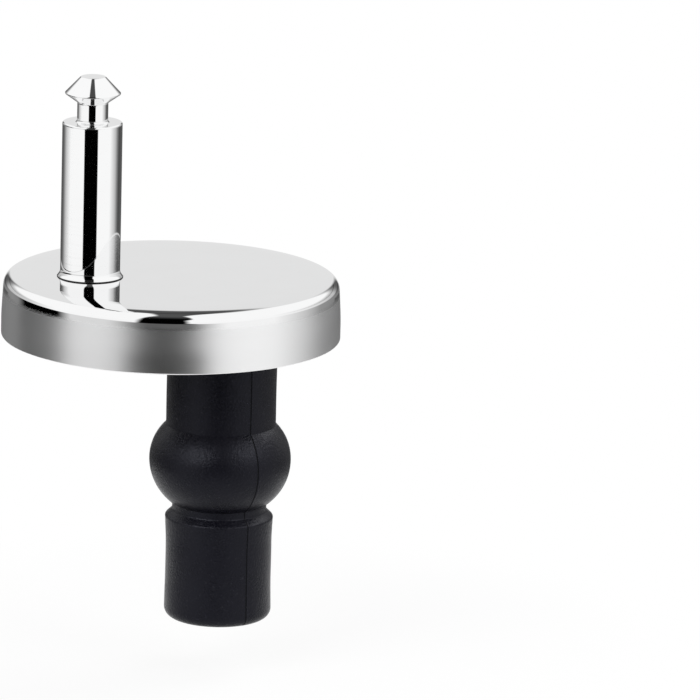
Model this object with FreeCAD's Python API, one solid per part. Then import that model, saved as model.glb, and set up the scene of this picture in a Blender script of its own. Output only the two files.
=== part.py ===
import FreeCAD
import Part
import math
import os

# Toilet seat hinge for a top-fixed seat, in mm.
# The origin is on the plug's axis at the pan's surface, Z points up and the post stands at -X.

# Layout along X, each axis measured from the cap's edge on its side
plug_edge_distance = 18.85
post_edge_distance = 14.0

# Clearances
seat_gap = 0.05
slide_gap = 0.12
thread_gap = 0.05
washer_play = 0.5

# How far a cutter passes the face that it cuts, and how far a fused piece sinks into its carrier
overshoot = 1.0
sink = 0.5

# Cover cap
cap_diameter = 55.0
cap_height = 10.13
cap_above_pan = 0.1
cap_wall = 1.2
cap_taper = 0.35
cap_bend_height = 3.4
cap_bend_radius = 40.0
cap_edge_radius = 1.6
cap_crown_width = 2.95
cap_crown_drop = 0.7
cap_crown_radius = 15.0
cap_hollow_radius = 0.9
cap_lip_radius = 0.25

# Hinge post
post_diameter = 9.7
post_length = 25.47
post_shoulder_radius = 0.3
post_flare = 0.5
post_flare_height = 0.8
post_flare_edge = 0.1
post_flare_radius = 1.2
neck_diameter = 5.0
neck_length = 3.2
neck_fillet = 0.4
head_diameter = 9.2
head_under_height = 1.5
head_under_fillet = 0.3
head_edge_radius = 0.2
head_crown_height = 2.7
head_crown_radius = 0.3
head_top_diameter = 4.0
spigot_diameter = 8.0
spigot_edge_radius = 0.3
spigot_gap = 0.1

# Post screw and its washer
post_screw_diameter = 5.0
post_screw_length = 12.5
post_screw_tip_bevel = 0.6
post_screw_head_diameter = 9.0
post_screw_head_height = 2.6
post_screw_head_radius = 1.1
post_tap_depth = 13.5
post_tap_cone = 1.4
post_washer_diameter = 11.6
post_washer_thickness = 1.0
cross_width = 1.3
cross_span = 4.8
cross_depth = 1.5
washer_bevel = 0.2

# Mounting base
base_underside = 1.0
base_edge_radius = 1.2
base_lip_radius = 0.5
deck_height = 5.7
base_ring_width = 2.0
slot_travel_in = 5.5
slot_travel_out = 3.5
slot_side_gap = 0.3
pocket_floor = 3.0
pocket_gap = 0.6
pocket_wall = 2.0
rib_thickness = 1.4
rib_length = 3.4
rib_drop = 1.0
rib_angles = (40.0, 75.0, 110.0)

# Gasket in a groove under the base
gasket_edge_wall = 0.8
gasket_width = 2.2
gasket_thickness = 1.5

# Slot washer
slot_washer_diameter = 15.0
slot_washer_flats = 12.4
slot_washer_thickness = 1.45

# Clamp screw
screw_diameter = 6.0
screw_head_diameter = 11.2
screw_head_height = 2.65
screw_head_rim = 0.9
screw_head_radius = 0.8
screw_crown_diameter = 7.0
screw_crown_radius = 1.2
screw_tip_inset = 0.9
screw_tip_bevel = 0.8
socket_flats = 4.0
socket_depth = 1.9
head_edge_break = 0.1

# Rubber plug, from the pan's surface down
flange_diameter = 21.0
flange_thickness = 1.6
flange_edge_radius = 0.4
plug_neck_diameter = 17.9
plug_neck_length = 15.0
bulge_diameter = 23.1
bulge_rise = 5.9
bulge_fall = 7.4
waist_diameter = 15.4
waist_width = 1.1
waist_slope = 1.05
crease_radius = 0.4
foot_diameter = 17.3
foot_rim_diameter = 17.65
foot_rim_width = 3.5
foot_end_diameter = 17.55
foot_end_width = 6.5
foot_length = 17.05
foot_radius = 1.6
foot_blend_radius = 30.0
plug_bore_gap = 0.4

# Plug nut
nut_barrel_diameter = 10.0
nut_flats = 12.0
nut_depth = 0.55
nut_length = 14.4
nut_flange_height = 2.7

# Derived places, heights and radii
cap_radius = cap_diameter / 2
plug_to_cap = cap_radius - plug_edge_distance
cap_to_post = cap_radius - post_edge_distance
cap_x = -plug_to_cap
post_x = cap_x - cap_to_post
cap_low = cap_above_pan
cap_top = cap_low + cap_height
cap_roof = cap_top - cap_wall
base_top = cap_roof - seat_gap
base_inset = cap_wall + slide_gap
base_ring_inner = cap_radius - cap_taper - base_inset - base_ring_width
gasket_outer_radius = cap_radius - base_inset - gasket_edge_wall
gasket_inner_radius = gasket_outer_radius - gasket_width
recess_roof = flange_thickness + seat_gap
channel_floor = deck_height - slot_washer_thickness - seat_gap
slot_near = plug_to_cap - slot_travel_in
slot_far = plug_to_cap + slot_travel_out
plug_neck_end = -plug_neck_length
bulge_widest = plug_neck_end - bulge_rise
bulge_end = bulge_widest - bulge_fall
waist_low = bulge_end - waist_width
foot_top = waist_low - waist_slope
foot_bottom = foot_top - foot_length
nut_top = foot_top - nut_depth
nut_bottom = nut_top - nut_length
nut_flange_top = nut_bottom + nut_flange_height
screw_radius = screw_diameter / 2
screw_seat = deck_height + seat_gap
screw_top = screw_seat + screw_head_height
screw_tip = nut_bottom + screw_tip_inset
post_screw_radius = post_screw_diameter / 2
post_screw_seat = cap_roof - post_washer_thickness
pocket_radius = post_washer_diameter / 2 + pocket_gap


def vector(x, y, z):
    return FreeCAD.Vector(x, y, z)


def rounded_wire(points):
    # Closed outline through (radius, height, corner radius) points, corners shortened where edges are short
    count = len(points)
    spots = [vector(r, 0, z) for r, z, corner in points]
    reach = []
    for i in range(count):
        back = (spots[i - 1] - spots[i]).normalize()
        ahead = (spots[(i + 1) % count] - spots[i]).normalize()
        half = back.getAngle(ahead) / 2
        reach.append(points[i][2] / math.tan(half))
    for i in range(count):
        j = (i + 1) % count
        room = (spots[j] - spots[i]).Length
        wanted = reach[i] + reach[j]
        if wanted > room:
            reach[i] *= room / wanted
            reach[j] *= room / wanted
    arcs = []
    starts = []
    ends = []
    for i in range(count):
        back = (spots[i - 1] - spots[i]).normalize()
        ahead = (spots[(i + 1) % count] - spots[i]).normalize()
        starts.append(spots[i] + back * reach[i])
        ends.append(spots[i] + ahead * reach[i])
        if reach[i] > 1e-6:
            inward = (back + ahead).normalize()
            half = back.getAngle(ahead) / 2
            depth = reach[i] / math.cos(half) - reach[i] * math.tan(half)
            arcs.append(Part.Arc(starts[i], spots[i] + inward * depth, ends[i]).toShape())
    runs = [(ends[i - 1], starts[i]) for i in range(count)]
    lines = [Part.makeLine(a, b) for a, b in runs if a.distanceToPoint(b) > 1e-6]
    return Part.Wire(Part.__sortEdges__(arcs + lines))


def turned(points, x=0.0):
    # Solid of revolution about a vertical axis at x
    solid = Part.Face(rounded_wire(points)).revolve(vector(0, 0, 0), vector(0, 0, 1), 360)
    solid.translate(vector(x, 0, 0))
    return solid


def cylinder(diameter, low, top, x=0.0):
    return Part.makeCylinder(diameter / 2, top - low, vector(x, 0, low))


def box(x0, x1, half_width, low, top):
    return Part.makeBox(x1 - x0, 2 * half_width, top - low, vector(x0, -half_width, low))


def hexagon(flats, low, top):
    radius = flats / math.sqrt(3)
    corners = [vector(radius * math.cos(math.radians(60 * i)), radius * math.sin(math.radians(60 * i)), low)
               for i in range(7)]
    return Part.Face(Part.makePolygon(corners)).extrude(vector(0, 0, top - low))


def slot(half_width, x0, x1, low, top):
    ends = [cylinder(2 * half_width, low, top, x) for x in (x0, x1)]
    return box(x0, x1, half_width, low, top).fuse(ends).removeSplitter()


def cup(inset, low, lip, upper):
    # Tapered wall shared by the cap's outside, its hollow and the base inside it
    wide = cap_radius - inset
    bend = cap_low + cap_bend_height
    return turned([(0, low, 0), (wide, low, lip), (wide, bend, cap_bend_radius)] + upper, cap_x)


def flat_top(inset, top, edge):
    return [(cap_radius - inset - cap_taper, top, edge), (0, top, 0)]


def crowned_top():
    # Flat middle that falls gently towards the rounded edge
    narrow = cap_radius - cap_taper
    return [(narrow, cap_top - cap_crown_drop, cap_edge_radius),
            (narrow - cap_crown_width, cap_top, cap_crown_radius), (0, cap_top, 0)]


def make_cover_cap():
    outside = cup(0, cap_low, cap_lip_radius, crowned_top())
    hollow = cup(cap_wall, cap_low - overshoot, 0, flat_top(cap_wall, cap_roof, cap_hollow_radius))
    hole = cylinder(spigot_diameter + 2 * seat_gap, cap_roof - overshoot, cap_top + overshoot, post_x)
    return outside.cut(hollow).cut(hole)


def make_hinge_post():
    shaft = post_diameter / 2
    foot = shaft + post_flare
    neck = neck_diameter / 2
    shoulder = cap_top + post_length
    under = shoulder + neck_length
    widest = under + head_under_height
    summit = widest + head_crown_height
    spigot = spigot_diameter / 2
    spigot_end = cap_roof + spigot_gap
    body = turned([(0, spigot_end, 0), (spigot, spigot_end, spigot_edge_radius), (spigot, cap_top, 0),
                   (foot, cap_top, 0), (foot, cap_top + post_flare_edge, 0),
                   (shaft, cap_top + post_flare_height, post_flare_radius),
                   (shaft, shoulder, post_shoulder_radius), (neck, shoulder, neck_fillet),
                   (neck, under, head_under_fillet), (head_diameter / 2, widest, head_edge_radius),
                   (head_top_diameter / 2, summit, head_crown_radius), (0, summit, 0)], post_x)
    thread = post_screw_radius + thread_gap
    tap_end = cap_roof + post_tap_depth
    tap = turned([(0, spigot_end - overshoot, 0), (thread, spigot_end - overshoot, 0), (thread, tap_end, 0),
                  (0, tap_end + post_tap_cone, 0)], post_x)
    return body.cut(tap)


def washer_disc(diameter, low, top, x=0.0):
    radius = diameter / 2
    return turned([(0, low, 0), (radius - washer_bevel, low, 0), (radius, low + washer_bevel, 0),
                   (radius, top - washer_bevel, 0), (radius - washer_bevel, top, 0), (0, top, 0)], x)


def make_post_washer():
    disc = washer_disc(post_washer_diameter, post_screw_seat, cap_roof, post_x)
    hole = post_screw_diameter + washer_play
    return disc.cut(cylinder(hole, post_screw_seat - overshoot, cap_roof + overshoot, post_x))


def make_post_screw():
    low = post_screw_seat - post_screw_head_height
    tip = post_screw_seat + post_screw_length
    head = post_screw_head_diameter / 2
    body = turned([(0, low, 0), (head, low, post_screw_head_radius), (head, post_screw_seat, head_edge_break),
                   (post_screw_radius, post_screw_seat, 0), (post_screw_radius, tip - post_screw_tip_bevel, 0),
                   (post_screw_radius - post_screw_tip_bevel, tip, 0), (0, tip, 0)], post_x)
    arm = cross_span / 2
    blade = box(post_x - arm, post_x + arm, cross_width / 2, low - overshoot, low + cross_depth)
    other = blade.copy()
    other.rotate(vector(post_x, 0, 0), vector(0, 0, 1), 90)
    return body.cut(blade.fuse(other))


def make_rib(angle):
    outer = base_ring_inner + sink
    rib = box(outer - rib_length, outer, rib_thickness / 2, deck_height - sink, base_top - rib_drop)
    rib.rotate(vector(0, 0, 0), vector(0, 0, 1), angle)
    rib.translate(vector(cap_x, 0, 0))
    return rib


def make_mounting_base():
    near = cap_x + slot_near
    far = cap_x + slot_far
    reach = slot_washer_diameter / 2 + slide_gap
    above = base_top + overshoot
    disc = cup(base_inset, base_underside, base_lip_radius, flat_top(base_inset, base_top, base_edge_radius))
    well = cylinder(2 * base_ring_inner, deck_height, above, cap_x)
    tower = cylinder(2 * (pocket_radius + pocket_wall), deck_height, above, post_x)
    shell = disc.cut(well.cut(tower))
    ribs = [make_rib(side * angle) for angle in rib_angles for side in (1, -1)]
    shell = shell.fuse(ribs).removeSplitter()
    recess = slot(flange_diameter / 2 + 2 * slide_gap, near, far, base_underside - overshoot, recess_roof)
    channel = box(near - reach, far + reach, slot_washer_flats / 2 + slide_gap, channel_floor, above)
    opening = slot(screw_radius + slot_side_gap, near, far, 0, deck_height)
    pocket = cylinder(2 * pocket_radius, pocket_floor, above, post_x)
    groove = gasket_ring(base_underside - overshoot)
    for space in (recess, channel, opening, pocket, groove):
        shell = shell.cut(space)
    return shell


def gasket_ring(low):
    outer = cylinder(2 * gasket_outer_radius, low, gasket_thickness, cap_x)
    inner = cylinder(2 * gasket_inner_radius, low - overshoot, gasket_thickness + overshoot, cap_x)
    return outer.cut(inner)


def make_slot_washer():
    low = channel_floor + seat_gap
    top = low + slot_washer_thickness
    radius = slot_washer_diameter / 2
    disc = washer_disc(slot_washer_diameter, low, top)
    disc = disc.common(box(-radius, radius, slot_washer_flats / 2, low - overshoot, top + overshoot))
    return disc.cut(cylinder(screw_diameter + washer_play, low - overshoot, top + overshoot))


def make_clamp_screw():
    head = screw_head_diameter / 2
    body = turned([(0, screw_tip, 0), (screw_radius - screw_tip_bevel, screw_tip, 0),
                   (screw_radius, screw_tip + screw_tip_bevel, 0), (screw_radius, screw_seat, 0),
                   (head, screw_seat, head_edge_break), (head, screw_seat + screw_head_rim, screw_head_radius),
                   (screw_crown_diameter / 2, screw_top, screw_crown_radius), (0, screw_top, 0)])
    return body.cut(hexagon(socket_flats, screw_top - socket_depth, screw_top + overshoot))


def bulge_corner(end_radius, span):
    # Height of the outline's corner over the widest place, and radius of the arc from there to an end
    swell = bulge_diameter / 2 - end_radius
    radius = (swell * swell + span * span) / (2 * swell)
    turn = math.asin(span / radius)
    return radius * math.tan(turn / 2), radius


def make_rubber_plug():
    neck = plug_neck_diameter / 2
    wide = bulge_diameter / 2
    waist = waist_diameter / 2
    foot = foot_diameter / 2
    flange = flange_diameter / 2
    rise, upper_radius = bulge_corner(neck, bulge_rise)
    drop, lower_radius = bulge_corner(waist, bulge_fall)
    outside = turned([(0, flange_thickness, 0), (flange, flange_thickness, flange_edge_radius), (flange, 0, 0),
                      (neck, 0, 0), (neck, plug_neck_end, 0),
                      (wide, bulge_widest + rise, upper_radius), (wide, bulge_widest - drop, lower_radius),
                      (waist, bulge_end, 0), (waist, waist_low, crease_radius),
                      (foot_rim_diameter / 2, foot_top, crease_radius),
                      (foot, foot_top - foot_rim_width, foot_blend_radius),
                      (foot, foot_bottom + foot_end_width, foot_blend_radius),
                      (foot_end_diameter / 2, foot_bottom, foot_radius), (0, foot_bottom, 0)])
    bore = cylinder(screw_diameter + 2 * plug_bore_gap, foot_bottom - overshoot, flange_thickness + overshoot)
    barrel = cylinder(nut_barrel_diameter + 2 * seat_gap, nut_flange_top, nut_top + seat_gap)
    flats = hexagon(nut_flats + 2 * seat_gap, nut_bottom - seat_gap, nut_flange_top + seat_gap)
    return outside.cut(bore).cut(barrel).cut(flats)


def make_plug_nut():
    flange = hexagon(nut_flats, nut_bottom, nut_flange_top)
    body = flange.fuse(cylinder(nut_barrel_diameter, nut_flange_top - sink, nut_top)).removeSplitter()
    return body.cut(cylinder(screw_diameter + 2 * thread_gap, nut_bottom - overshoot, nut_top + overshoot))


parts = {
    "cover_cap": make_cover_cap(),
    "hinge_post": make_hinge_post(),
    "post_washer": make_post_washer(),
    "post_screw": make_post_screw(),
    "mounting_base": make_mounting_base(),
    "base_gasket": gasket_ring(0),
    "slot_washer": make_slot_washer(),
    "clamp_screw": make_clamp_screw(),
    "rubber_plug": make_rubber_plug(),
    "plug_nut": make_plug_nut(),
}

os.makedirs("parts", exist_ok=True)
for name, shape in parts.items():
    solid = shape.Solids[0]
    solid.exportStep("parts/" + name + ".step")
    print(name, "valid" if solid.isValid() else "broken", len(shape.Solids), round(solid.Volume, 1))
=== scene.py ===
import math

import bmesh
import bpy
from mathutils import Matrix, Vector


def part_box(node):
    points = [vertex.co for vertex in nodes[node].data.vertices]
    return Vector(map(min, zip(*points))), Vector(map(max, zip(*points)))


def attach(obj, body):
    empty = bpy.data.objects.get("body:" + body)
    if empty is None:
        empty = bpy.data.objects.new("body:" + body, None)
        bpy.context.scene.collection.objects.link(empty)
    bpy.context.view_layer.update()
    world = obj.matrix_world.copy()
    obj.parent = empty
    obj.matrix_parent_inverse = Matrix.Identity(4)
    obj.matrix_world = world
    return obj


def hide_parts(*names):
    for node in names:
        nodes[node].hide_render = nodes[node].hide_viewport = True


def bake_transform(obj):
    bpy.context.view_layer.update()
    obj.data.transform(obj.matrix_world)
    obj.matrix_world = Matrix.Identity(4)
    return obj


mm = 0.001  # sizes below are in mm, the scene is in metres

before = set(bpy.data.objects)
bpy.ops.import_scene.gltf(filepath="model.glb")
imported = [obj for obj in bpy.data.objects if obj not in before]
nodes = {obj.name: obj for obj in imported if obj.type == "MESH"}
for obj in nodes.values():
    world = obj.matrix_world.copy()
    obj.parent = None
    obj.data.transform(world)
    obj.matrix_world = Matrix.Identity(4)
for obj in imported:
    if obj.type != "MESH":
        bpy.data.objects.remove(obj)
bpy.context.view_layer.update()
print("frame loaded:", len(nodes), "nodes")


def reachOf(node):  # middle along X, lowest, highest, half width
    low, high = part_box(node)
    return (low.x + high.x) / 2 / mm, low.z / mm, high.z / mm, (high.x - low.x) / 2 / mm


capX, capLow, capTop, capRadius = reachOf("cover_cap")
postX, postLow, postTop, postFoot = reachOf("hinge_post")
plugLow, plugTop = reachOf("rubber_plug")[1:3]
nutLow, nutTop = reachOf("plug_nut")[1:3]


# shader sockets as values

class Value:
    def __init__(self, bench, socket):
        self.bench = bench
        self.socket = socket

    def maths(self, kind, a, b):
        return self.bench.node("ShaderNodeMath", {"operation": kind}, {0: a, 1: b})

    def __add__(self, other):
        return self.maths("ADD", self, other)

    __radd__ = __add__

    def __sub__(self, other):
        return self.maths("SUBTRACT", self, other)

    def __rsub__(self, other):
        return self.maths("SUBTRACT", other, self)

    def __mul__(self, other):
        return self.maths("MULTIPLY", self, other)

    __rmul__ = __mul__

    def __lt__(self, other):
        return self.maths("LESS_THAN", self, other)

    def __abs__(self):
        return self.bench.node("ShaderNodeMath", {"operation": "ABSOLUTE"}, {0: self})


class Bench:
    def __init__(self, tree):
        self.tree = tree
        tree.nodes.clear()

    def node(self, kind, settings=None, sockets=None, out=0):
        made = self.tree.nodes.new(kind)
        for key, value in (settings or {}).items():
            if key == "stops":
                ramp = made.color_ramp.elements
                while len(ramp) < len(value):
                    ramp.new(1.0)
                for stop, (place, shade) in zip(ramp, value):
                    stop.position = place
                    stop.color = tint(shade)
            else:
                setattr(made, key, value)
        for key, value in (sockets or {}).items():
            if isinstance(value, Value):
                self.tree.links.new(value.socket, made.inputs[key])
            else:
                made.inputs[key].default_value = value
        return Value(self, made.outputs[out]) if made.outputs else made

    def smooth(self, value, low, high, kind="SMOOTHSTEP"):  # 0 at low, 1 at high
        return self.node("ShaderNodeMapRange", {"interpolation_type": kind, "clamp": True},
                         {"Value": value, "From Min": low, "From Max": high})

    def between(self, value, rise, fall):
        return self.smooth(value, *rise) * self.smooth(value, *fall)

    def angle(self, y, x):
        return self.node("ShaderNodeMath", {"operation": "ARCTAN2"}, {0: y, 1: x})

    def sine(self, value):
        return self.node("ShaderNodeMath", {"operation": "SINE"}, {0: value})

    def blend(self, factor, a, b):
        return self.node("ShaderNodeMix", {"data_type": "RGBA"}, {0: factor, 6: a, 7: b}, 2)

    def noise(self, place, scale, detail=2.0, rough=0.5, stretch=None):
        if stretch:
            place = self.node("ShaderNodeVectorMath", {"operation": "MULTIPLY"}, {0: place, 1: stretch})
        return self.node("ShaderNodeTexNoise", {"noise_dimensions": "3D"},
                         {"Vector": place, "Scale": scale, "Detail": detail, "Roughness": rough})

    def axes(self, place):
        return [self.node("ShaderNodeSeparateXYZ", None, {0: place}, name) for name in "XYZ"]

    def place(self, kind="Object"):
        return self.node("ShaderNodeTexCoord", None, None, kind)

    def bump(self, height, distance):
        return self.node("ShaderNodeBump", None, {"Height": height, "Distance": distance})

    def rays(self, kind):
        return self.node("ShaderNodeLightPath", None, None, kind)


def tint(grey, warm=0.0):
    return (grey * (1 + warm), grey, grey * (1 - warm), 1)


def newFinish(name):
    finish = bpy.data.materials.new(name)
    finish.use_nodes = True
    return finish, Bench(finish.node_tree)


def surface(bench, sockets):
    shader = bench.node("ShaderNodeBsdfPrincipled", None, sockets)
    bench.node("ShaderNodeOutputMaterial", None, {"Surface": shader})


# finishes, with each noise as scale, detail, roughness and stretch

capFinish = {"dull": tint(0.92), "bright": tint(0.95, -0.004), "polish": 0.03, "haze": 0.03,
             "hazeFrom": (0.55, 0.8), "wall": 0.27, "wallDrop": 3.2, "wallFade": 1.1,
             "wipe": (160.0, 3.0, 0.6, (1, 1, 3)), "brush": (300.0, 2.0, 0.5, (1, 1, 30)),
             "brushLow": 0.85, "brushShare": 0.3, "relief": 0.0005}


def makeCapChrome():
    finish, b = newFinish("polished_chrome")
    s = capFinish
    spot = b.place()
    height = b.axes(spot)[2]
    wallTop = capTop - s["wallDrop"]
    wall = b.smooth(height, (wallTop + s["wallFade"]) * mm, wallTop * mm)  # satin below the polished edge
    wipe, brush = b.noise(spot, *s["wipe"]), b.noise(spot, *s["brush"])
    rough = s["polish"] + s["haze"] * b.smooth(wipe, *s["hazeFrom"])
    rough = rough + s["wall"] * wall * (s["brushLow"] + s["brushShare"] * brush)
    surface(b, {"Base Color": b.blend(wipe, s["dull"], s["bright"]), "Metallic": 1.0, "Roughness": rough,
                "Normal": b.bump(wipe, s["relief"] * mm)})
    return finish


# the dark joint colour is painted shade, a band on the post's foot where it meets the cap
postFinish = {"dull": tint(0.93), "bright": tint(0.96, -0.004), "polish": 0.025, "lathe": 0.02,
              "latheFrom": (0.5, 0.75), "smear": 0.015, "jointShade": tint(0.03), "jointShadeRough": 0.3,
              "joint": 0.14, "jointFade": 0.06, "rings": (60.0, 2.0, 0.5, (1, 1, 90)),
              "wipe": (220.0, 3.0), "relief": 0.0002}


def makePostChrome():
    finish, b = newFinish("turned_chrome")
    s = postFinish
    spot = b.place()
    height = b.axes(spot)[2]
    jointTop = capTop + s["joint"]
    joint = b.smooth(height, (jointTop + s["jointFade"]) * mm, jointTop * mm)  # painted shade along the foot, where the post meets the cap
    rings, wipe = b.noise(spot, *s["rings"]), b.noise(spot, *s["wipe"])
    rough = s["polish"] + s["lathe"] * b.smooth(rings, *s["latheFrom"])
    rough = rough + s["smear"] * wipe + s["jointShadeRough"] * joint
    plainChrome = b.blend(wipe, s["dull"], s["bright"])
    surface(b, {"Base Color": b.blend(joint, plainChrome, s["jointShade"]), "Metallic": 1.0, "Roughness": rough,
                "Normal": b.bump(rings, s["relief"] * mm)})
    return finish


rubberFinish = {"dark": (0.0028, 0.0028, 0.005, 1), "pale": (0.006, 0.0058, 0.0095, 1),
                "dust": (0.05, 0.05, 0.06, 1), "dustShare": 0.25, "dustFrom": (0.62, 0.74),
                "rough": 0.29, "cloudRough": 0.16, "grainRough": 0.1, "shine": 0.17,
                "sheen": (0.85, 0.87, 1.0, 1), "bloom": 0.04, "bloomRough": 0.18,
                "grain": (2600.0, 3.0, 0.65), "cloud": (240.0, 4.0, 0.6), "specks": (2600.0, 2.0, 0.7),
                "depth": 0.1, "cloudDepth": 0.4, "seamShade": tint(0.0015), "seamRough": 0.4,
                "seamAngle": -70.0, "seamInner": 0.006, "seamOuter": 0.014}


def makeRubber():
    finish, b = newFinish("black_rubber")
    s = rubberFinish
    spot = b.place()
    x, y = b.axes(spot)[:2]
    grain, cloud = b.noise(spot, *s["grain"]), b.noise(spot, *s["cloud"])
    dust = b.smooth(b.noise(spot, *s["specks"]), *s["dustFrom"])
    aside = abs(b.sine(b.angle(y, x) - math.radians(s["seamAngle"])))
    clear = b.smooth(aside, s["seamInner"], s["seamOuter"])  # 0 in the two mould lines, whose grooves get painted shade
    shade = b.blend(s["dustShare"] * dust, b.blend(cloud, s["dark"], s["pale"]), s["dust"])
    rough = s["rough"] + s["cloudRough"] * (cloud - 0.5) + s["grainRough"] * (grain - 0.5)
    # the mould lines' dark colour is painted shade in their grooves
    surface(b, {"Base Color": b.blend(clear, s["seamShade"], shade),
                "Roughness": rough + s["seamRough"] * (1 - clear),
                "Specular IOR Level": s["shine"], "Specular Tint": s["sheen"],
                "Sheen Weight": s["bloom"], "Sheen Roughness": s["bloomRough"], "Sheen Tint": s["sheen"],
                "Normal": b.bump(grain + s["cloudDepth"] * cloud, s["depth"] * mm)})
    return finish


nylonFinish = {"dark": tint(0.64, 0.01), "pale": tint(0.74, 0.015), "rough": 0.42, "flowRough": 0.14,
               "flow": (90.0, 4.0, 0.6), "grain": (2400.0, 2.0), "relief": 0.012}


def makeNylon():
    finish, b = newFinish("moulded_nylon")
    s = nylonFinish
    spot = b.place()
    flow, grain = b.noise(spot, *s["flow"]), b.noise(spot, *s["grain"])
    surface(b, {"Base Color": b.blend(flow, s["dark"], s["pale"]),
                "Roughness": s["rough"] + s["flowRough"] * (flow - 0.5),
                "Normal": b.bump(grain, s["relief"] * mm)})
    return finish


steelFinish = {"dark": tint(0.5, 0.02), "pale": tint(0.62, -0.02), "rough": 0.188, "patchRough": 0.18,
               "brushRough": 0.08, "patch": (320.0, 4.0, 0.65), "brush": (700.0, 2.0, 0.5, (1, 12, 1)),
               "relief": 0.004}


def makeSteel():
    finish, b = newFinish("zinc_steel")
    s = steelFinish
    spot = b.place()
    patch, brush = b.noise(spot, *s["patch"]), b.noise(spot, *s["brush"])
    surface(b, {"Base Color": b.blend(patch, s["dark"], s["pale"]), "Metallic": 1.0,
                "Roughness": s["rough"] + s["patchRough"] * patch + s["brushRough"] * brush,
                "Normal": b.bump(brush, s["relief"] * mm)})
    return finish


brassFinish = {"tarnished": (0.46, 0.32, 0.12, 1), "bright": (0.72, 0.55, 0.25, 1), "rough": 0.24,
               "tarnishRough": 0.2, "tarnish": (260.0, 4.0, 0.6), "rings": (90.0, 2.0, 0.5, (1, 1, 60)),
               "relief": 0.004}


def makeBrass():
    finish, b = newFinish("turned_brass")
    s = brassFinish
    spot = b.place()
    tarnish, rings = b.noise(spot, *s["tarnish"]), b.noise(spot, *s["rings"])
    surface(b, {"Base Color": b.blend(tarnish, s["tarnished"], s["bright"]), "Metallic": 1.0,
                "Roughness": s["rough"] + s["tarnishRough"] * tarnish,
                "Normal": b.bump(rings, s["relief"] * mm)})
    return finish


chromeTop, chromeTurned = makeCapChrome(), makePostChrome()
rubber, nylon, steel, brass = makeRubber(), makeNylon(), makeSteel(), makeBrass()
print("finishes made")


# turned and cut shapes

mesh = {"arcStep": 0.5, "arcTurn": 8.0, "arcLeast": 3, "guard": 0.06, "guardRoom": 0.18, "sharp": 32.0,
        "speck": 0.0005, "tiny": 1e-6, "same": 1e-5}


def softOutline(corners):
    # points through (radius, height, corner radius), with arcs at the corners and a guard point
    # beside each arc
    count = len(corners)
    spots = [Vector((r, z)) for r, z, c in corners]
    backs = [(spots[i - 1] - spots[i]).normalized() for i in range(count)]
    aheads = [(spots[(i + 1) % count] - spots[i]).normalized() for i in range(count)]
    halves = [back.angle(ahead) / 2 for back, ahead in zip(backs, aheads)]
    reach = [corner[2] / math.tan(half) for corner, half in zip(corners, halves)]
    for i in range(count):
        j = (i + 1) % count
        share = (spots[j] - spots[i]).length / max(reach[i] + reach[j], mesh["tiny"])
        if share < 1:
            reach[i] *= share
            reach[j] *= share
    points = []
    for i in range(count):
        j = (i + 1) % count
        spot, back, ahead = spots[i], backs[i], aheads[i]
        if reach[i] < mesh["tiny"]:
            points.append(spot)
            continue
        centre = spot + (back + ahead).normalized() * (reach[i] / math.cos(halves[i]))
        start, end = spot + back * reach[i], spot + ahead * reach[i]
        arm = start - centre
        turn = arm.angle_signed(end - centre)
        byTurn = math.degrees(abs(turn)) / mesh["arcTurn"]
        byStep = abs(turn) * arm.length / mesh["arcStep"]
        steps = math.ceil(max(mesh["arcLeast"], byTurn, byStep))
        if (spots[i - 1] - spot).length > reach[i - 1] + reach[i] + mesh["guardRoom"]:
            points.append(start + back * mesh["guard"])
        points += [centre + Matrix.Rotation(-turn * k / steps, 2) @ arm for k in range(steps + 1)]
        if (spots[j] - spot).length > reach[i] + reach[j] + mesh["guardRoom"]:
            points.append(end + ahead * mesh["guard"])
    return [p for p, q in zip(points, points[1:] + points[:1]) if (p - q).length > mesh["same"]]


def fineRows(outline, step):
    rows = []
    for a, b in zip(outline, outline[1:] + outline[:1]):
        onAxis = a.x < mesh["tiny"] and b.x < mesh["tiny"]
        parts = 1 if onAxis else max(1, round((b - a).length / step))
        rows += [a + (b - a) * k / parts for k in range(parts)]
    return rows


def evenTurn(count):
    return [2 * math.pi * k / count for k in range(count)]


def lathe(name, outline, angles, x=0.0, relief=None):
    # closed outline turned about a vertical axis at x, relief(radius, height, angle) adds to the radius
    shape = bmesh.new()
    rings = []
    for r, z in outline:
        if r < mesh["tiny"]:
            rings.append([shape.verts.new((x * mm, 0, z * mm))])
            continue
        ring = []
        for a in angles:
            reach = r + relief(r, z, a) if relief else r
            ring.append(shape.verts.new(((x + reach * math.cos(a)) * mm, reach * math.sin(a) * mm, z * mm)))
        rings.append(ring)
    for ring, after in zip(rings, rings[1:] + rings[:1]):
        if len(ring) == 1 and len(after) == 1:
            continue
        for k in range(len(angles)):
            j = (k + 1) % len(angles)
            loop = [ring[k % len(ring)], ring[j % len(ring)], after[j % len(after)], after[k % len(after)]]
            shape.faces.new(list(dict.fromkeys(loop)))
    return finishMesh(name, shape)


def prism(name, corners, low, high):
    # upright block over flat corners
    shape = bmesh.new()
    lower = [shape.verts.new((c[0] * mm, c[1] * mm, low * mm)) for c in corners]
    upper = [shape.verts.new((c[0] * mm, c[1] * mm, high * mm)) for c in corners]
    for k in range(len(corners)):
        j = (k + 1) % len(corners)
        shape.faces.new((lower[k], lower[j], upper[j], upper[k]))
    shape.faces.new(lower)
    shape.faces.new(upper)
    return finishMesh(name, shape)


def hexagon(flats):
    corner = flats / math.sqrt(3)
    return [(corner * math.cos(a), corner * math.sin(a)) for a in evenTurn(6)]


def finishMesh(name, shape):
    bmesh.ops.recalc_face_normals(shape, faces=shape.faces)
    made = bpy.data.meshes.new(name)
    shape.to_mesh(made)
    shape.free()
    made.shade_smooth()
    made.set_sharp_from_angle(angle=math.radians(mesh["sharp"]))
    piece = bpy.data.objects.new(name, made)
    bpy.context.scene.collection.objects.link(piece)
    return piece


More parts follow.
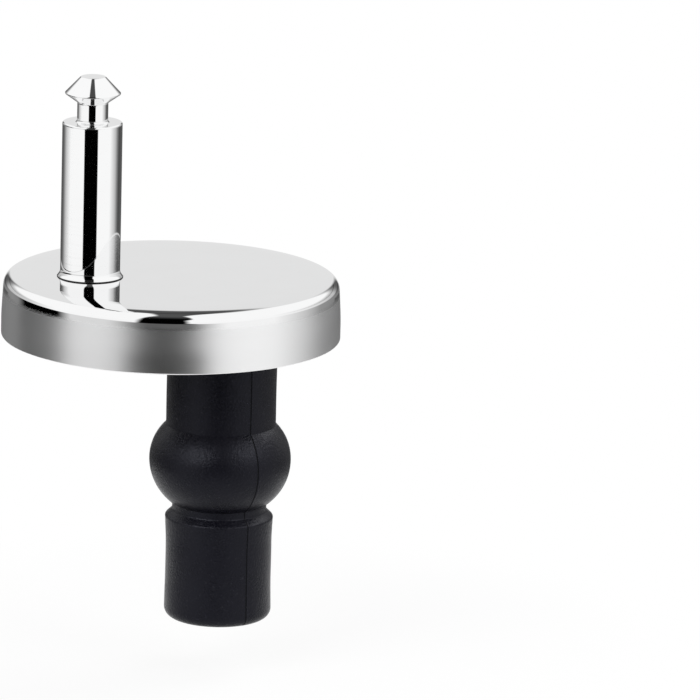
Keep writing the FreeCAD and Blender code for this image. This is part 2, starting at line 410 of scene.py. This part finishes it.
def carve(piece, tool):
    cut = piece.modifiers.new("cut", "BOOLEAN")
    cut.operation, cut.object, cut.solver = "DIFFERENCE", tool, "EXACT"
    bpy.context.view_layer.update()
    made = bpy.data.meshes.new_from_object(piece.evaluated_get(bpy.context.evaluated_depsgraph_get()))
    piece.modifiers.clear()
    piece.data = made
    shape = bmesh.new()
    shape.from_mesh(made)
    bmesh.ops.dissolve_degenerate(shape, dist=mesh["speck"] * mm, edges=shape.edges)
    shape.to_mesh(made)
    shape.free()
    made.set_sharp_from_angle(angle=math.radians(mesh["sharp"]))
    bpy.data.objects.remove(tool)
    return piece


def dress(piece, finish):
    piece.data.materials.clear()
    piece.data.materials.append(finish)


def standFor(piece, finish, body, node):
    dress(piece, finish)
    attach(piece, body)
    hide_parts(node)


# cover cap

cap = {"wall": 1.2, "taper": 0.35, "bend": 3.4, "bendRadius": 40.0, "edge": 1.6, "crownWidth": 2.95,
       "crownDrop": 0.7, "crownRadius": 15.0, "hollowEdge": 0.9, "lip": 0.25, "innerLip": 0.15, "hole": 4.05,
       "drillPast": 2.0, "columns": 320, "holeColumns": 96}
capRoof = capTop - cap["wall"]


def makeCap():
    s = cap
    roof, bend = capRoof, capLow + s["bend"]
    narrow, inner = capRadius - s["taper"], capRadius - s["wall"]
    outline = softOutline([(0, capTop, 0), (narrow - s["crownWidth"], capTop, s["crownRadius"]),
                           (narrow, capTop - s["crownDrop"], s["edge"]), (capRadius, bend, s["bendRadius"]),
                           (capRadius, capLow, s["lip"]), (inner, capLow, s["innerLip"]),
                           (inner, bend, s["bendRadius"]), (inner - s["taper"], roof, s["hollowEdge"]),
                           (0, roof, 0)])
    piece = lathe("cap_shell", outline, evenTurn(s["columns"]), capX)
    low, high = roof - s["drillPast"], capTop + s["drillPast"]
    drill = [Vector(p) for p in ((0, low), (s["hole"], low), (s["hole"], high), (0, high))]
    return carve(piece, lathe("drill", drill, evenTurn(s["holeColumns"]), postX))


capPiece = makeCap()
standFor(capPiece, chromeTop, "cover", "cover_cap")
print("cap made")


# hinge post

post = {"shaft": 4.85, "footEdge": 0.05, "flareEdge": 0.1, "flareHeight": 0.8, "flareRound": 1.2,
        "shoulder": 35.7, "shoulderEdge": 0.3, "neck": 2.5, "neckRound": 0.4, "neckTop": 38.9,
        "neckEdge": 0.3, "head": 4.6, "headWide": 40.4, "headEdge": 0.2, "crown": 2.0, "crownEdge": 0.3,
        "spigot": 4.0, "spigotEdge": 0.3, "tap": 2.55, "tapDepth": 13.5, "tapCone": 1.4, "columns": 224}


def makePost():
    s = post
    tapTop = capRoof + s["tapDepth"]
    outline = softOutline([(0, tapTop + s["tapCone"], 0), (s["tap"], tapTop, 0), (s["tap"], postLow, 0),
                           (s["spigot"], postLow, s["spigotEdge"]), (s["spigot"], capTop, 0),
                           (postFoot, capTop, s["footEdge"]),
                           (postFoot, capTop + s["flareEdge"], s["footEdge"]),
                           (s["shaft"], capTop + s["flareHeight"], s["flareRound"]),
                           (s["shaft"], s["shoulder"], s["shoulderEdge"]),
                           (s["neck"], s["shoulder"], s["neckRound"]),
                           (s["neck"], s["neckTop"], s["neckEdge"]),
                           (s["head"], s["headWide"], s["headEdge"]),
                           (s["crown"], postTop, s["crownEdge"]), (0, postTop, 0)])
    return lathe("post_turning", outline, evenTurn(s["columns"]), postX)


postPiece = makePost()
standFor(postPiece, chromeTurned, "cover", "hinge_post")
print("post made")


# rubber plug, moulded in two halves around its nut

plug = {"flange": 10.5, "flangeEdge": 0.4, "neck": 8.95, "neckCrease": 0.1, "neckEnd": -15.0, "wide": 11.55,
        "widest": -20.9, "bulgeEnd": -28.3, "waist": 7.7, "waistLow": -29.4, "crease": 0.4, "footTop": -30.45,
        "footRim": 8.825, "footRimWidth": 3.5, "foot": 8.65, "footEnd": 8.775, "footEndWidth": 6.5,
        "footBlend": 30.0, "footRound": 1.6, "bore": 3.4, "boreTopEdge": 0.2, "boreEndEdge": 0.3,
        "barrel": 5.05, "nutFlats": 12.1, "nutFlange": 2.7, "nutGap": 0.05,
        "rowStep": 1.2, "columnStep": 1.25, "seamColumns": [0.2, 0.45, 0.8, 1.2, 1.7],
        "seamDepth": 0.09, "seamHalf": 0.75, "seamLip": 0.03, "seamLipAt": 1.2, "seamLipHalf": 0.5,
        "wobble": 0.03, "wobbleTwist": 0.21, "wobbleWave": 0.37}


def bulgeCorner(s, endRadius, endZ):
    swell, span = s["wide"] - endRadius, abs(endZ - s["widest"])
    radius = (swell * swell + span * span) / (2 * swell)
    return radius * math.tan(math.asin(span / radius) / 2), radius


def plugColumns(s):
    # even columns, with closer ones beside the two mould lines
    near = s["seamColumns"]
    even = [s["columnStep"] * k for k in range(2, int(180 / s["columnStep"]) - 1)]
    half = [0.0] + near + even + [180 - a for a in reversed(near)]
    start = rubberFinish["seamAngle"]
    return [math.radians(start + a + side) for side in (0, 180) for a in half]


def plugRelief(r, z, angle):
    s = plug
    if r < s["waist"] - s["crease"]:
        return 0.0
    aside = math.degrees(math.asin(abs(math.sin(angle - math.radians(rubberFinish["seamAngle"])))))
    groove = s["seamDepth"] * max(0.0, 1 - (aside / s["seamHalf"]) ** 2)
    lip = s["seamLip"] * math.exp(-((aside - s["seamLipAt"]) / s["seamLipHalf"]) ** 2)
    sway = s["wobble"] * math.sin(2 * angle + s["wobbleTwist"] * z) * math.sin(s["wobbleWave"] * z + angle)
    return lip - groove + sway


def makePlug():
    s = plug
    rise, upper = bulgeCorner(s, s["neck"], s["neckEnd"])
    drop, lower = bulgeCorner(s, s["waist"], s["bulgeEnd"])
    nutFlangeTop = nutLow + s["nutFlange"]
    outline = softOutline([(s["bore"], plugTop, s["boreTopEdge"]), (s["flange"], plugTop, s["flangeEdge"]),
                           (s["flange"], 0, s["neckCrease"]), (s["neck"], 0, s["neckCrease"]),
                           (s["neck"], s["neckEnd"], 0), (s["wide"], s["widest"] + rise, upper),
                           (s["wide"], s["widest"] - drop, lower), (s["waist"], s["bulgeEnd"], 0),
                           (s["waist"], s["waistLow"], s["crease"]),
                           (s["footRim"], s["footTop"], s["crease"]),
                           (s["foot"], s["footTop"] - s["footRimWidth"], s["footBlend"]),
                           (s["foot"], plugLow + s["footEndWidth"], s["footBlend"]),
                           (s["footEnd"], plugLow, s["footRound"]), (s["bore"], plugLow, s["boreEndEdge"]),
                           (s["bore"], nutFlangeTop, 0), (s["barrel"], nutFlangeTop, 0),
                           (s["barrel"], nutTop + s["nutGap"], 0), (s["bore"], nutTop + s["nutGap"], 0)])
    piece = lathe("plug_moulding", fineRows(outline, s["rowStep"]), plugColumns(s), 0.0, plugRelief)
    nest = prism("nest", hexagon(s["nutFlats"]), nutLow - s["nutGap"], nutFlangeTop + s["nutGap"])
    return carve(piece, nest)


plugPiece = makePlug()
dress(plugPiece, rubber)
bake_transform(plugPiece)
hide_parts("rubber_plug")
print("plug made")


# screws with their threads

threadForm = {"flank": 2.4, "crest": 0.1, "rowsPerTurn": 10, "columns": 48}
clampScrew = {"shank": 3.0, "seat": 5.75, "seatEdge": 0.1, "head": 5.6, "rim": 0.9, "rimRound": 0.8,
              "crown": 3.5, "crownRound": 1.2, "tipBevel": 0.8, "socket": 4.0, "socketDepth": 1.9,
              "socketPast": 1.0, "pitch": 1.0, "depth": 0.5, "threadTop": -4.0}
postScrew = {"shank": 2.5, "head": 4.5, "headHeight": 2.6, "seatEdge": 0.1, "tipBevel": 0.6, "round": 1.1,
             "crossWidth": 1.3, "crossSpan": 4.8, "crossDepth": 1.5, "crossPast": 1.0, "pitch": 0.8,
             "depth": 0.4}


def thread(radius, low, high, pitch, depth):
    # right-hand thread cut into the shank of that radius, running out at both ends
    def relief(r, z, angle):
        if abs(r - radius) > mesh["same"]:
            return 0.0
        runOut = max(0.0, min(1.0, (z - low) / pitch, (high - z) / pitch))
        along = (z / pitch - angle / (2 * math.pi)) % 1.0
        groove = threadForm["flank"] * abs(along - 0.5) - threadForm["crest"]
        return -depth * runOut * min(1.0, max(0.0, groove))
    return relief


def turnScrew(name, outline, s, low, high, x):
    rows = fineRows(outline, s["pitch"] / threadForm["rowsPerTurn"])
    cut = thread(s["shank"], low, high, s["pitch"], s["depth"])
    return lathe(name, rows, evenTurn(threadForm["columns"]), x, cut)


def makeClampScrew():
    s = clampScrew
    low, top = reachOf("clamp_screw")[1:3]
    outline = softOutline([(0, low, 0), (s["shank"] - s["tipBevel"], low, 0),
                           (s["shank"], low + s["tipBevel"], 0), (s["shank"], s["seat"], 0),
                           (s["head"], s["seat"], s["seatEdge"]),
                           (s["head"], s["seat"] + s["rim"], s["rimRound"]),
                           (s["crown"], top, s["crownRound"]), (0, top, 0)])
    piece = turnScrew("screw_turning", outline, s, low, s["threadTop"], 0.0)
    return carve(piece, prism("key", hexagon(s["socket"]), top - s["socketDepth"], top + s["socketPast"]))


def makePostScrew():
    s = postScrew
    low, top = reachOf("post_screw")[1:3]
    seat = low + s["headHeight"]
    outline = softOutline([(0, low, 0), (s["head"], low, s["round"]), (s["head"], seat, s["seatEdge"]),
                           (s["shank"], seat, 0), (s["shank"], top - s["tipBevel"], 0),
                           (s["shank"] - s["tipBevel"], top, 0), (0, top, 0)])
    piece = turnScrew("post_screw_turning", outline, s, seat, top, postX)
    arm, half = s["crossSpan"] / 2, s["crossWidth"] / 2
    for a, b in ((arm, half), (half, arm)):
        corners = [(postX - a, -b), (postX + a, -b), (postX + a, b), (postX - a, b)]
        piece = carve(piece, prism("blade", corners, low - s["crossPast"], low + s["crossDepth"]))
    return piece


standFor(makeClampScrew(), steel, "screw", "clamp_screw")
standFor(makePostScrew(), steel, "cover", "post_screw")
print("screws made")


# inner pieces keep their solids

for name, finish, slot in (("mounting_base", nylon, "nylon"), ("base_gasket", rubber, "rubber"),
                           ("post_washer", steel, "steel"), ("slot_washer", steel, "steel"),
                           ("plug_nut", brass, "brass")):
    dress(nodes[name], finish)
print("inner pieces dressed")


# floor

floor = {"z": -56.0, "radius": 100.0, "columns": 96, "grey": 0.9, "shadow": 0.12, "shadowFade": (0.35, 0.9)}


def makeFloor():
    s = floor
    reach = s["radius"] * mm
    shape = bmesh.new()
    bmesh.ops.create_circle(shape, cap_ends=True, segments=s["columns"], radius=reach)
    bmesh.ops.translate(shape, verts=shape.verts, vec=(capX * mm, 0, s["z"] * mm))
    piece = finishMesh("floor", shape)
    finish, b = newFinish("white_floor")
    x, y = b.axes(b.place())[:2]
    near, edge = [(share * reach) ** 2 for share in s["shadowFade"]]
    far = b.smooth(x * x + y * y, near, edge)
    plainly = (b.rays("Is Camera Ray") + b.rays("Is Glossy Ray")) * (1 - s["shadow"] * (1 - far))
    matt = b.node("ShaderNodeBsdfDiffuse", None, {"Color": tint(s["grey"])})
    plain = b.node("ShaderNodeEmission", None, {"Color": tint(1.0), "Strength": 1.0})
    lit = b.node("ShaderNodeMixShader", None, {0: plainly, 1: matt, 2: plain})
    b.node("ShaderNodeOutputMaterial", None, {"Surface": lit})
    piece.data.materials.append(finish)


# light tent that the metal sees, by direction, with z from -1 straight down to 1 straight up
# stops are (degrees round from the front, brightness), for the cap's wall, the post's shaft and the cap's rim
# a pair says where a change starts and where it is complete, and two pairs are a rise and a fall

ambient = 0.4
walls = {"wall": ((-180, 0.2), (-150, 0.25), (-140, 0.22), (-131, 0.0), (-95, 0.0), (-84, 0.72), (-60, 0.72),
                  (-20, 0.7), (10, 0.93), (62, 0.95), (92, 0.58), (110, 0.3), (145, 0.2), (180, 0.17)),
         "shaft": ((-180, 0.1), (-152, 0.1), (-141, 0.23), (-126, 0.58), (-113, 0.79), (-101, 0.99),
                   (62, 0.99), (77, 0.72), (88, 0.55), (101, 0.22), (113, 0.07), (140, 0.1), (180, 0.1)),
         "rim": ((-180, 0.5), (-150, 0.56), (-126, 0.66), (-113, 0.82), (-101, 0.99), (62, 0.99), (100, 0.8),
                 (128, 0.55), (180, 0.5)),
         "rimRise": (-0.01, 0.03), "shaftLow": ((-0.2315, -0.2285), (-0.2, -0.203)),
         "shaftHigh": ((0.219, 0.222), (0.241, 0.238)), "below": 0.95, "belowFall": (-0.42, -0.75),
         "flagAt": -111.0, "flagDark": 0.95, "flagEdge": (0.27, 0.17), "flagSide": (0.0, 0.1),
         "overhead": 1.0, "overheadRise": (0.27, 0.4)}
backdrop = {"at": -12.2, "dusk": 0.8, "duskSide": (-0.82, -0.95), "duskRise": (-0.15, 0.0),
            "card": 0.79, "cardEdge": (0.24, 0.14), "cardSide": (0.0, -0.2),
            "cardBand": ((-0.24, -0.18), (0.6, 0.55)), "strip": 0.92, "stripEdge": (0.19, 0.07),
            "stripBand": ((0.53, 0.58), (0.82, 0.76))}
gap = {"at": -15.2, "side": (-0.75, -0.6), "half": 0.085, "soft": 0.02, "dark": 0.915,
       "widen": 0.255, "widenSide": (0.05, 0.95), "spread": 0.5, "spreadFall": (0.0, -1.0),
       "darker": 0.085, "darkerSide": (0.05, 0.7),
       "haze": ((-0.195, -0.165), (-0.03, -0.07)), "hazeWiden": 0.08, "hazeSoft": 0.26, "hazeGlow": 0.15,
       "trim": ((-0.03, 0.03), (0.8, 0.5)), "trimHalf": 0.047, "trimSoft": 0.03}


def across(way, at):  # how far a direction lies to the right of, and towards, a compass direction
    x, y = way[:2]
    c, n = math.cos(math.radians(at)), math.sin(math.radians(at))
    return x * c + y * n, x * n - y * c


def fade(tone, other, share):
    return tone + (other - tone) * share


def tentWalls(b, way):  # bright all round in front, with a dark flag on the left
    s = walls
    x, y, z = way
    turn = b.angle(x, 0 - y) * (0.5 / math.pi) + 0.5

    def around(stops):
        return b.node("ShaderNodeValToRGB", {"stops": [((a + 180) / 360, v) for a, v in stops]}, {0: turn})

    rim = b.smooth(z, *s["rimRise"])
    shaft = b.between(z, *s["shaftLow"]) + b.between(z, *s["shaftHigh"])  # the second is for its mirror image
    tone = fade(around(s["wall"]), around(s["rim"]), rim)
    tone = fade(tone, around(s["shaft"]), shaft)
    tone = fade(tone, s["below"], b.smooth(z, *s["belowFall"]))
    aside, toward = across(way, s["flagAt"])
    flag = b.smooth(abs(aside), *s["flagEdge"]) * b.smooth(toward, *s["flagSide"])
    tone = tone * (1 - s["flagDark"] * flag * (1 - shaft) * (1 - rim))
    return fade(tone, s["overhead"], b.smooth(z, *s["overheadRise"]))


def tentBack(b, way, tone):  # dusk behind, with a pale card in it and a dark strip over that
    s = backdrop
    z = way[2]
    aside, toward = across(way, s["at"])
    tone = tone * (1 - s["dusk"] * b.smooth(toward, *s["duskSide"]) * b.smooth(z, *s["duskRise"]))
    behind = b.smooth(abs(aside), *s["cardEdge"]) * b.smooth(toward, *s["cardSide"])
    tone = fade(tone, s["card"], behind * b.between(z, *s["cardBand"]))
    strip = behind * b.between(z, *s["stripBand"]) * b.smooth(abs(aside), *s["stripEdge"])
    return tone * (1 - s["strip"] * strip)


def tentGap(b, way, tone):  # dark gap in front that runs up and over
    s = gap
    z = way[2]
    aside, toward = across(way, s["at"])
    haze = b.between(z, *s["haze"])  # blurred under the cap's rim
    trim = (b.rays("Glossy Depth") < 2) * b.between(z, *s["trim"])  # cut back on the right if mirrored once
    half = s["half"] + s["widen"] * b.smooth(toward, *s["widenSide"], "LINEAR")
    half = half + s["spread"] * b.smooth(z, *s["spreadFall"], "LINEAR")
    half = half + s["hazeWiden"] * haze - s["trimHalf"] * trim
    soft = s["soft"] + s["hazeSoft"] * haze + s["trimSoft"] * trim
    shade = b.smooth(abs(aside + s["trimHalf"] * trim), half + soft, half - soft)
    shade = shade * b.smooth(toward, *s["side"])
    dark = s["dark"] + s["darker"] * b.smooth(toward, *s["darkerSide"]) - s["hazeGlow"] * haze
    return tone * (1 - shade * dark)


def makeWorld():
    world = bpy.data.worlds.new("light_tent")
    world.use_nodes = True
    bpy.context.scene.world = world
    b = Bench(world.node_tree)
    way = b.axes(b.place("Generated"))
    tone = tentGap(b, way, tentBack(b, way, tentWalls(b, way)))
    seen, shiny, clear = b.rays("Is Camera Ray"), b.rays("Is Glossy Ray"), b.rays("Is Transmission Ray")
    strength = seen + shiny * tone + clear + ambient * (1 - seen) * (1 - shiny) * (1 - clear)
    sky = b.node("ShaderNodeBackground", None, {"Color": tint(1.0), "Strength": strength})
    b.node("ShaderNodeOutputWorld", None, {"Surface": sky})


# lamps, each with its azimuth, elevation and power

lamps = {"left_box": (-54.0, 33.0, 2.9), "right_box": (44.0, 33.0, 1.5), "back_box": (112.0, 48.0, 1.8)}
lamp = {"distance": 700.0, "size": 400.0}


def towards(azimuth, elevation):
    a, e = math.radians(azimuth), math.radians(elevation)
    return Vector((math.sin(a) * math.cos(e), -math.cos(a) * math.cos(e), math.sin(e)))


def chromeOut():  # the chrome sees the tent and not the lamps
    group = bpy.data.collections.new("chrome_out")
    for piece in (capPiece, postPiece):
        group.objects.link(piece)
    for member in group.collection_objects:
        member.light_linking.link_state = "EXCLUDE"
    return group


def addLamp(name, azimuth, elevation, power, lights):
    light = bpy.data.lights.new(name, "AREA")
    light.energy, light.size = power, lamp["size"] * mm
    holder = bpy.data.objects.new(name, light)
    back = towards(azimuth, elevation)
    holder.location = Vector((capX * mm, 0, 0)) + back * lamp["distance"] * mm
    holder.rotation_euler = back.to_track_quat("Z", "Y").to_euler()
    holder.visible_camera = False
    holder.light_linking.receiver_collection = lights
    bpy.context.scene.collection.objects.link(holder)


makeFloor()
makeWorld()
notChrome = chromeOut()
for name, (azimuth, elevation, power) in lamps.items():
    addLamp(name, azimuth, elevation, power, notChrome)
print("light set")


# camera, for the photograph's frame of 700 by 700 pixels

view = {"distance": 1200.0, "azimuth": -12.2, "elevation": 13.6, "roll": 1.1, "scale": 6.166,
        "aimAt": (170.7, 334.4), "frame": 700.0, "sensor": 36.0, "clipEnd": 50.0}


def makeCamera():
    s = view
    back = towards(s["azimuth"], s["elevation"])
    focal = s["scale"] * s["distance"]
    middle = s["frame"] / 2
    toAim = Vector(((s["aimAt"][0] - middle) / focal, (middle - s["aimAt"][1]) / focal, -1))
    swing = toAim.rotation_difference(Vector((0, 0, -1))).to_matrix()
    roll = Matrix.Rotation(math.radians(s["roll"]), 3, "Z")
    turn = back.to_track_quat("Z", "Y").to_matrix() @ roll @ swing
    lens = bpy.data.cameras.new("camera")
    lens.sensor_width = s["sensor"]
    lens.lens = focal / s["frame"] * lens.sensor_width
    lens.clip_end = s["clipEnd"]
    camera = bpy.data.objects.new("camera", lens)
    aim = Vector((capX, 0, capLow)) * mm
    camera.matrix_world = Matrix.Translation(aim + back * s["distance"] * mm) @ turn.to_4x4()
    bpy.context.scene.collection.objects.link(camera)
    bpy.context.scene.camera = camera


makeCamera()
bpy.context.scene.view_settings.view_transform = "Standard"
print("camera set")
